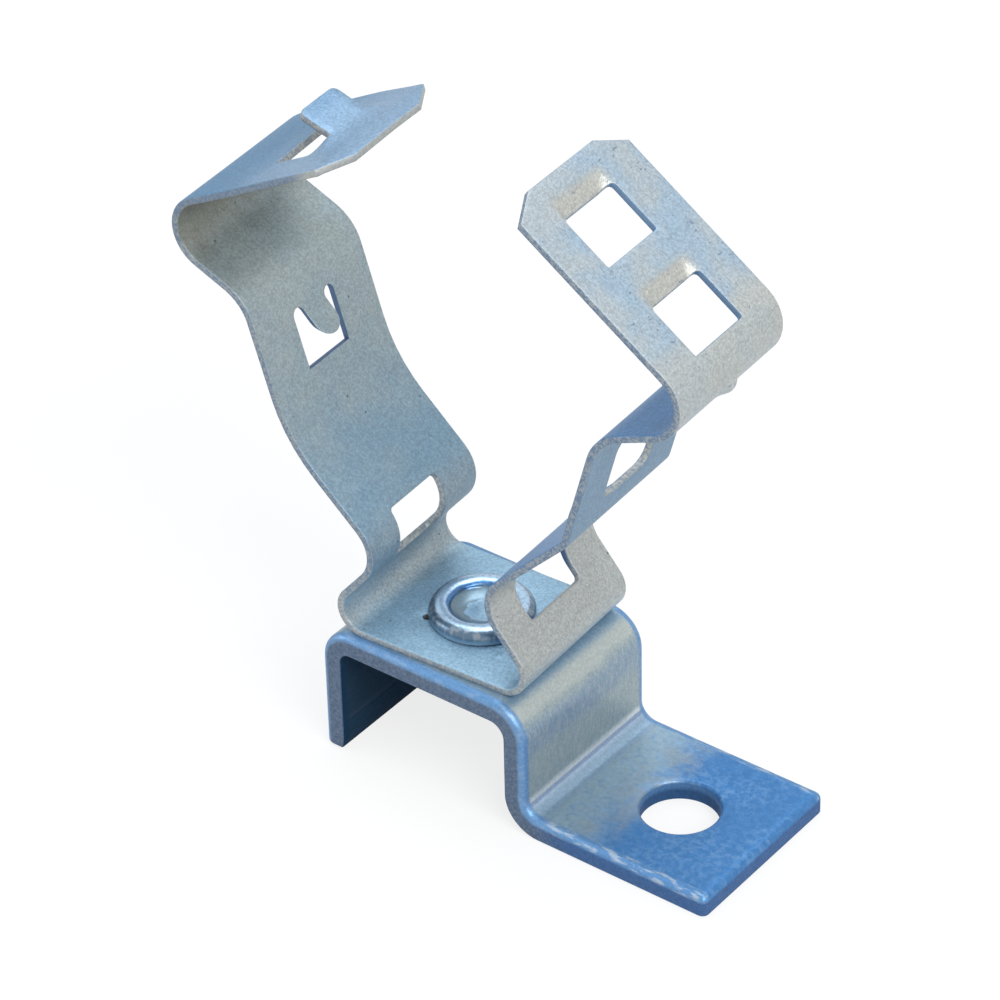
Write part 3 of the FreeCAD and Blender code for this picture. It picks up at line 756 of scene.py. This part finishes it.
def makeClip(c):
    leftCorners, leftBends = armCorners(-1, c)
    rightCorners, rightBends = armCorners(1, c)
    path = Path(leftCorners[::-1] + rightCorners, leftBends[::-1] + rightBends, 6)
    count = len(c["left"])
    half = c["width"] / 2
    edge = c["edge"]

    # where a length along one leg, outwards from its corner, lies along the whole path
    def leftAt(leg, s):
        return path.legs[count - 1 - leg] + c["left"][leg][0] - s

    def rightAt(leg, s):
        return path.legs[count + 1 + leg] + s

    middle = path.legs[count] + c["baseHalf"]
    noseHalf, noseRun = c["nose"]
    tipHalf, tipRun = c["tip"]
    end = path.length
    outline = [(0, -noseHalf), (noseRun, -half), (end - tipRun, -half), (end, -tipHalf),
               (end, tipHalf), (end - tipRun, half), (noseRun, half), (0, noseHalf)]
    holes = [ring(middle, 0, c["hole"], 40)]
    below, above, r = c["lowWindow"]
    first = c["left"][0][0] - below
    low, high = c["leftLow"]
    holes.append(roundedBox(leftAt(1, above), leftAt(0, first), low, high, (r, r, r, r)))
    low, high = c["rightLow"]
    holes.append(roundedBox(rightAt(0, first), rightAt(1, above), low, high, (r, r, r, r)))
    start, long, wide, r = c["sideWindow"]
    holes.append(roundedBox(rightAt(2, start), rightAt(2, start + long), -wide, wide, (r, r, r, r)))

    # slot with its tongue hanging from the top edge
    start, long, wide = c["slot"]
    tongueHalf, tongueLong, tongueBend, tongueRadius = c["tongue"]
    tongueTurn = math.radians(tongueBend)
    slotEnd = start + long
    top, low = leftAt(2, slotEnd), leftAt(2, start)
    tip = top + tongueLong
    slotTop = (wide - tongueHalf) / 2
    tongueSide = wide - slotTop
    slot = [(low, wide)]
    for k in range(9):
        a = math.pi * k / 8
        slot.append((top + slotTop * (1 - math.sin(a)), tongueSide + slotTop * math.cos(a)))
    for k in range(7):
        a = math.pi * k / 12
        slot.append((tip - tongueHalf * (1 - math.sin(a)), tongueHalf * math.cos(a)))
    mirror = [(s, -y) for s, y in reversed(slot) if abs(y) > 1e-6]
    holes.append(slot + mirror)

    # opening round the lanced tab
    openStart, openEnd, wide, r = c["tabHole"]
    corner, gap, slack = c["tabHoleCorner"], c["tabGap"], c["slack"]
    tabRoot, tabLong, tabHalf, tabLift, tabRadius, tabCorner = c["tab"]
    lift = math.radians(tabLift)
    run = tabRadius * math.tan(lift / 2)
    bendStart = tabRoot + run
    free = bendStart - (tabLong - run) - tabRadius * lift
    opening = [(openStart, -wide + corner), (openStart, wide - corner), (openStart + corner, wide)]
    for k in range(9):
        a = math.pi * k / 16
        opening.append((openEnd - r * (1 - math.sin(a)),
                        tabHalf + gap + (wide - tabHalf - gap) * math.cos(a)))
    opening.append((openEnd - gap, tabHalf))
    for k in range(5):
        a = math.pi * k / 8
        opening.append((free + tabCorner * (1 - math.sin(a)), tabHalf - tabCorner * (1 - math.cos(a))))
    opening += [(f, -y) for f, y in reversed(opening[2:])]
    opening = [(leftAt(4, f), y) for f, y in opening]
    holes.append(opening)

    # catch windows of the right flap
    for start, shift, wide in c["windows"]:
        low, high = rightAt(4, start), rightAt(4, start + c["windowLength"])
        holes.append(roundedBox(low, high, shift - wide, shift + wide, c["windowCorners"]))

    # small hole that locates the strip in its die, beside the rivet
    along, aside, r = c["dieHole"]
    holes.append(ring(middle + along, aside, r, 14))

    sideReach, sideFrom, sidePast = c["sideLift"]
    riseFrom, riseTo, flapRise, flapTwist = c["flapRise"]
    sagFrom, sagTo, sagWide, flapSag = c["flapSag"]
    lipRun, lipHalf, lipDrop, lipBack, lipPast = c["lip"]
    lipHeight, lipHook, lipRoot = c["lipCurve"]
    dentAt, dentDeep, dentSpread, dentNarrow = c["dent"]
    pipRadius, pipDegrees, pipHigh, pipCrown, pipFoot = c["pip"]
    foldBend = path.bends[-1]
    pipAt = foldBend[0] + pipRadius * math.radians(pipDegrees)
    baseX, baseY, baseHigh, baseCrown, baseFoot = c["basePip"]

    def shape(s, y, n):
        # left flap: twisted a little, its tab bent up, the sheet beside the tab's root drawn up with it
        f = leftAt(4, 0) - s
        if f > 0:
            h = -n
            h += ease(f, riseFrom, riseTo) * (flapRise + flapTwist * y)
            h -= flapSag * ease(f, sagFrom, sagTo) * ease(y, 0, sagWide)
            e = bendStart - f
            if e > 0:
                w = 1.0
                onTab = abs(y) <= tabHalf + slack and free - slack <= f <= openEnd - slack
                if not onTab:
                    w = (1 - ease(abs(y), tabHalf, sideReach)) * ease(f, sideFrom, openEnd + sidePast)
                    e = min(e, bendStart - openEnd)
                turn = min(e / tabRadius, lift)
                past = max(0, e - tabRadius * lift)
                raised = tabRadius * (1 - math.cos(turn)) + past * math.sin(lift)
                back = tabRadius * math.sin(turn) + past * math.cos(lift)
                move = h * math.sin(turn) + (bendStart - f if w == 1.0 else e) - back
                f += move * w
                h += (raised + h * math.cos(turn) - h) * w
                s = leftAt(4, f)
            return s, y, -h
        # tongue of the left arm, bent towards the conduit
        e = slotEnd - (leftAt(2, 0) - s)
        if 0 < e < tongueLong + 0.5 and abs(y) < tongueSide:
            turn = min(e / tongueRadius, tongueTurn)
            past = max(0, e - tongueRadius * tongueTurn)
            inn = tongueRadius * (1 - math.cos(turn)) + past * math.sin(tongueTurn)
            back = tongueRadius * math.sin(turn) + past * math.cos(tongueTurn)
            return leftAt(2, slotEnd - back - n * math.sin(turn)), y, inn + n * math.cos(turn)
        # lips of the catch windows, pressed down towards the tip
        f = s - rightAt(4, 0)
        if f > 0:
            for start, shift, wide in c["windows"]:
                e = f - start - c["windowLength"]
                if -lipBack < e < lipRun + lipPast:
                    rise = max(0, lipHeight - max(0, e) / lipRun)
                    drop = lipDrop * rise * rise / (rise + lipHook)
                    n += drop * (1 - ease(abs(y - shift), lipHalf, wide)) * ease(e, -lipBack, -lipRoot)
        # dent in the right arm's front edge
        g = s - rightAt(2, dentAt)
        if abs(g) < 3:
            n += dentDeep * math.exp(-(g * g + (y + half) ** 2 * dentNarrow) / dentSpread)
        # pips pressed out of the fold and up from the base
        n -= pipHigh * (1 - ease(math.hypot(s - pipAt, y), pipCrown, pipFoot))
        n += baseHigh * (1 - ease(math.hypot(s - middle - baseX, y - baseY), baseCrown, baseFoot))
        return s, y, n

    foldRub, foldFrom, foldWhole, foldTo, foldGone = c["foldRub"]
    lipEdge, lipFade, lipGone, lipWhole, lipWide = c["lipSheen"]
    lowRub, lowFrom, lowWhole, lowTo, lowGone = c["lowRub"]
    bendRub, bendAt, bendWide, topWide, topShare = c["bendRub"]

    def rubbedAndSheen(s, y, n):
        if n < 0:
            # outer skin of the right fold, rubbed, with a painted highlight on the lips of its catch windows
            out = foldRub * ease(s, foldBend[0] + foldFrom, foldBend[0] + foldWhole)
            out *= 1 - ease(s, foldBend[1] + foldTo, foldBend[1] + foldGone)
            f = s - rightAt(4, 0)
            for start, shift, wide in c["windows"]:
                e = f - start - c["windowLength"]
                along = ease(e, -lipEdge, 0) * (1 - ease(e, lipRun - lipFade, lipRun + lipGone))
                out = max(out, along * (1 - ease(abs(y - shift), lipWhole, lipWide)))
            # outer skin of the right arm's lower part
            low = ease(s, rightAt(0, lowFrom), rightAt(0, lowWhole))
            low *= 1 - ease(s, rightAt(1, lowTo), rightAt(1, lowGone))
            return max(out, low * lowRub)
        # inside of the left arm's two lowest bends
        bend = math.exp(-((s - leftAt(0, bendAt)) / bendWide) ** 2)
        bend += math.exp(-((s - leftAt(0, c["left"][0][0])) / topWide) ** 2) * topShare
        return bend * bendRub

    # closer lines where the sheet is bent or pressed: the tab, the pips, the tongue and the lips
    fine = [(leftAt(4, bendStart + 0.5), leftAt(4, free), 0.4), (pipAt - 1.8, pipAt + 1.8, 0.35),
            (leftAt(2, slotEnd + 0.3), leftAt(2, slotEnd - 2), 0.3), (middle + 5.0, middle + 6.2, 0.2)]
    for start, shift, wide in c["windows"]:
        edgeAt = rightAt(4, start + c["windowLength"])
        fine.append((edgeAt, edgeAt + lipRun + lipPast, 0.3))
    rows = [-9.2 + 0.8 * k for k in range(24)] + [0.4 * k - 1.6 for k in range(9)]
    rows += [-5.7, -5.5, -5.3, -5.1, -4.9, -4.7, -4.5]
    rows += [side * v for side in (-1, 1) for v in (3.4, 3.75, 4.0, 4.6, 5.0, 5.3)]
    blank = flatBlank(outline, holes, path.lines(c["lineGap"], fine), thinned(rows), c["thick"],
                      (edge, edge), (edge, edge), shape, 2, rubbedAndSheen)
    place = (bracket["rivetX"] * mm, 0, bracket["top"] * mm)
    obj = foldBlank("springClipSteel", blank, path, tree, c["turn"], place, spring)
    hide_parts("spring_clip")
    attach(obj, "clip")


makeClip(clip)
print("spring clip made")


# rivet, in mm: turned outline from the head under the plate to the floor of the hollow end.
# dome: radius as a share of the head's and height; outerFoot, mouthFoot: where the ring's two sides
# begin, as a share of its height; wobble: waves round the crest, their phase and depth
rivet = {"ring": 5.8, "crest": 4.55, "mouth": 3.45, "floor": 1.95, "ringHeight": 1.75, "floorHeight": 0.5,
         "head": 5.6, "headHeight": 1.6, "shank": 3.2, "steps": 96,
         "dome": ((0.5, 0.02), (0.72, 0.12), (0.87, 0.4), (0.96, 0.85)), "outerFoot": 0.4,
         "mouthFoot": 0.66, "coneCurve": 1.7, "wobble": ((3, 0.6, 0.035), (7, 0, 0.02)), "wobbleFrom": 0.5}


def makeRivet(c):
    seat = bracket["top"] + clip["thick"]
    under = bracket["top"] - bracket["thick"]
    foot = under - c["headHeight"]
    outline = [(0, foot)] + [(c["head"] * share, foot + up) for share, up in c["dome"]]
    outline += [(c["head"], under - 0.15), (c["head"] - 0.05, under), (c["shank"], under),
                (c["shank"], seat), (c["ring"] - 0.3, seat), (c["ring"] - 0.06, seat + 0.12)]
    high, crest = c["ringHeight"], c["crest"]
    for a in range(0, 181, 12):
        t = math.radians(a)
        side, share = (c["ring"] - crest, c["outerFoot"]) if a <= 90 else (crest - c["mouth"], c["mouthFoot"])
        outline.append((crest + side * math.cos(t), seat + high * (share + (1 - share) * math.sin(t))))
    mouthHeight, floorHeight = high * c["mouthFoot"], c["floorHeight"]
    for k in range(1, 9):
        t = k / 8
        r = c["mouth"] + (c["floor"] - c["mouth"]) * t
        z = mouthHeight + (floorHeight - mouthHeight) * (1 - (1 - t) ** c["coneCurve"])
        outline.append((r, seat + z))
    floorAt = seat + floorHeight
    outline += [(c["floor"] * 0.75, floorAt - 0.06), (c["floor"] * 0.4, floorAt - 0.02), (0, floorAt)]
    made = bmesh.new()
    rings = []
    for r, z in outline:
        if r == 0:
            rings.append([made.verts.new((bracket["rivetX"] * mm, 0, z * mm))])
            continue
        onCrest = ease(z, seat + c["wobbleFrom"], seat + high)
        loop = []
        for k in range(c["steps"]):
            a = 2 * math.pi * k / c["steps"]
            # rolled by a tool, so the crest is not quite round
            out = r + sum(deep * math.sin(waves * a + phase) for waves, phase, deep in c["wobble"]) * onCrest
            x, y = bracket["rivetX"] + out * math.cos(a), out * math.sin(a)
            loop.append(made.verts.new((x * mm, y * mm, z * mm)))
        rings.append(loop)
    for a, b in zip(rings, rings[1:]):
        for k in range(c["steps"]):
            j = (k + 1) % c["steps"]
            if len(a) == 1:
                made.faces.new((a[0], b[j], b[k]))
            elif len(b) == 1:
                made.faces.new((a[k], a[j], b[0]))
            else:
                made.faces.new((a[k], a[j], b[j], b[k]))
    bmesh.ops.recalc_face_normals(made, faces=made.faces[:])
    mesh = bpy.data.meshes.new("rivetSteel")
    made.to_mesh(mesh)
    made.free()
    for face in mesh.polygons:
        face.use_smooth = True
    mesh.set_sharp_from_angle(angle=sharp)
    mesh.materials.append(bright)
    obj = bpy.data.objects.new("rivetSteel", mesh)
    scene.collection.objects.link(obj)
    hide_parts("rivet")
    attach(obj, "base")


makeRivet(rivet)
print("rivet made")


# plain pale floor, white to the camera and in reflections, still taking the shadow
stage = {"level": -0.0001, "reach": 3.0, "floor": (0.9, 0.9, 0.9, 1), "white": 0.8}


def whiteRays(f):
    seen, mirrored, through = (f.node("ShaderNodeLightPath", {}, {}, name) for name in
                               ("Is Camera Ray", "Is Glossy Ray", "Is Transmission Ray"))
    return seen.maths("MAXIMUM", seen.maths("MAXIMUM", seen, mirrored), through)


def makeStage(c):
    f = Finish(bpy.data.materials.new("paleFloor"))
    plain = f.node("ShaderNodeBsdfDiffuse", {}, {"Color": c["floor"]})
    white = f.node("ShaderNodeEmission", {}, {"Color": grey(1), "Strength": 1.0})
    mixed = f.node("ShaderNodeMixShader", {}, {0: whiteRays(f) * c["white"], 1: plain, 2: white})
    f.node("ShaderNodeOutputMaterial", {}, {"Surface": mixed})
    r, z = c["reach"], c["level"]
    mesh = bpy.data.meshes.new("floor")
    mesh.from_pydata([(-r, -r, z), (r, -r, z), (r, r, z), (-r, r, z)], [], [(0, 1, 2, 3)])
    mesh.materials.append(f.owner)
    floor = bpy.data.objects.new("floor", mesh)
    scene.collection.objects.link(floor)


# the world: white where it is seen or mirrored, a plain soft fill for the rest
fill = {"colour": (0.88, 0.94, 1.0, 1), "strength": 0.38}


def makeWorld(c):
    world = bpy.data.worlds.new("studio")
    f = Finish(world)
    soft = f.node("ShaderNodeBackground", {}, {"Color": c["colour"], "Strength": c["strength"]})
    white = f.node("ShaderNodeBackground", {}, {"Color": grey(1), "Strength": 1.0})
    mixed = f.node("ShaderNodeMixShader", {}, {0: whiteRays(f), 1: soft, 2: white})
    f.node("ShaderNodeOutputWorld", {}, {"Surface": mixed})
    scene.world = world


# soft boxes: place in metres, aimed at the part's middle
lamps = {"key": {"place": (0.55, -0.25, 0.55), "size": 0.45, "power": 5.2, "colour": (1, 0.98, 0.95)},
         "top": {"place": (-0.15, 0.15, 0.8), "size": 0.6, "power": 4.0, "colour": (0.92, 0.96, 1)},
         "left": {"place": (-0.6, -0.35, 0.3), "size": 0.4, "power": 1.3, "colour": (0.9, 0.95, 1)}}


def makeLamps(several):
    aim = Vector((-0.02, 0, 0.035))
    for name, c in several.items():
        data = bpy.data.lights.new(name, "AREA")
        data.shape, data.size, data.energy, data.color = "SQUARE", c["size"], c["power"], c["colour"]
        obj = bpy.data.objects.new(name, data)
        obj.location = c["place"]
        obj.rotation_euler = (aim - Vector(c["place"])).to_track_quat("-Z", "Y").to_euler()
        scene.collection.objects.link(obj)


makeStage(stage)
makeWorld(fill)
makeLamps(lamps)
scene.view_settings.view_transform = "Standard"
print("stage and lamps made")

bpy.context.view_layer.update()
